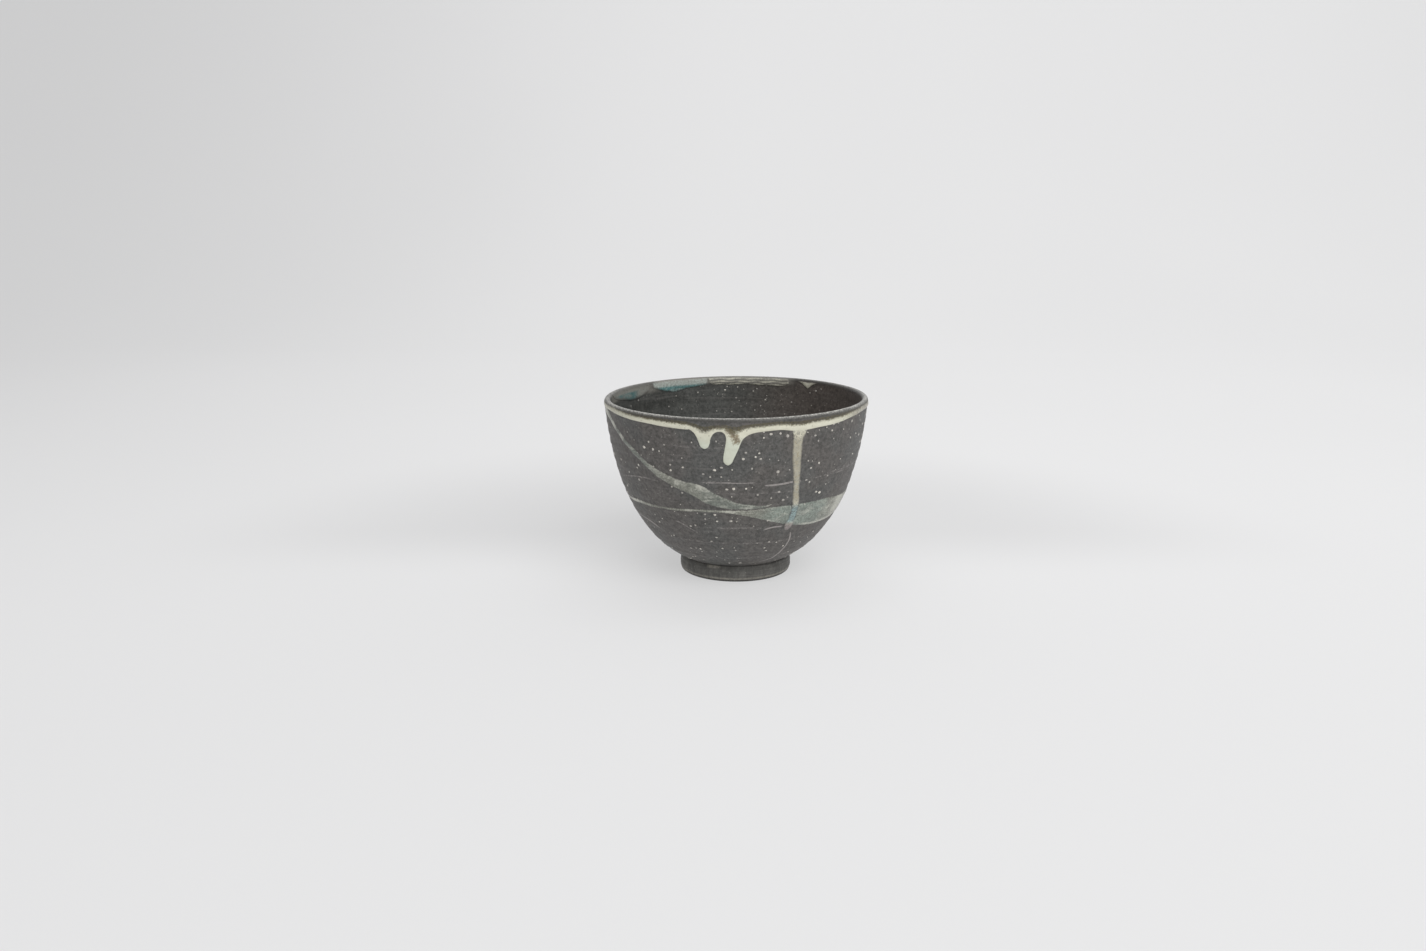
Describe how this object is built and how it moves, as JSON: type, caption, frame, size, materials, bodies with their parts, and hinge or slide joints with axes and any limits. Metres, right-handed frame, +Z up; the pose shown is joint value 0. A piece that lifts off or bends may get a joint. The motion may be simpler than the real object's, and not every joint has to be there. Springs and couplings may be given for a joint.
{
  "type": "matcha bowl",
  "caption": "Wheel-thrown stoneware tea bowl with a turned foot ring, dark glaze and poured cream and celadon glaze trails, for whisking and drinking matcha.",
  "frame": {"origin": "centre of the circle on which the foot ring rests", "axes": "+Z up along the axis of the bowl, -Y towards the side with the drips, +X towards the side with the long run"},
  "size_m": [0.1208, 0.1205, 0.0816],
  "materials": {
    "clay": "matte",
    "foot_clay": "matte",
    "dark_glaze": "satin",
    "cream_glaze": "gloss",
    "celadon_glaze": "satin"
  },
  "bodies": {
    "root": {"clay_body": "clay", "foot_ring": "foot_clay", "outer_glaze": "dark_glaze", "inner_glaze": "dark_glaze", "cream_trail": "cream_glaze", "cream_run": "cream_glaze", "celadon_sash": "celadon_glaze", "celadon_sweep": "celadon_glaze", "inner_celadon_left": "celadon_glaze", "inner_celadon_back": "celadon_glaze", "inner_cream_band": "cream_glaze", "inner_cream_drip": "cream_glaze"}
  },
  "joints": []
}
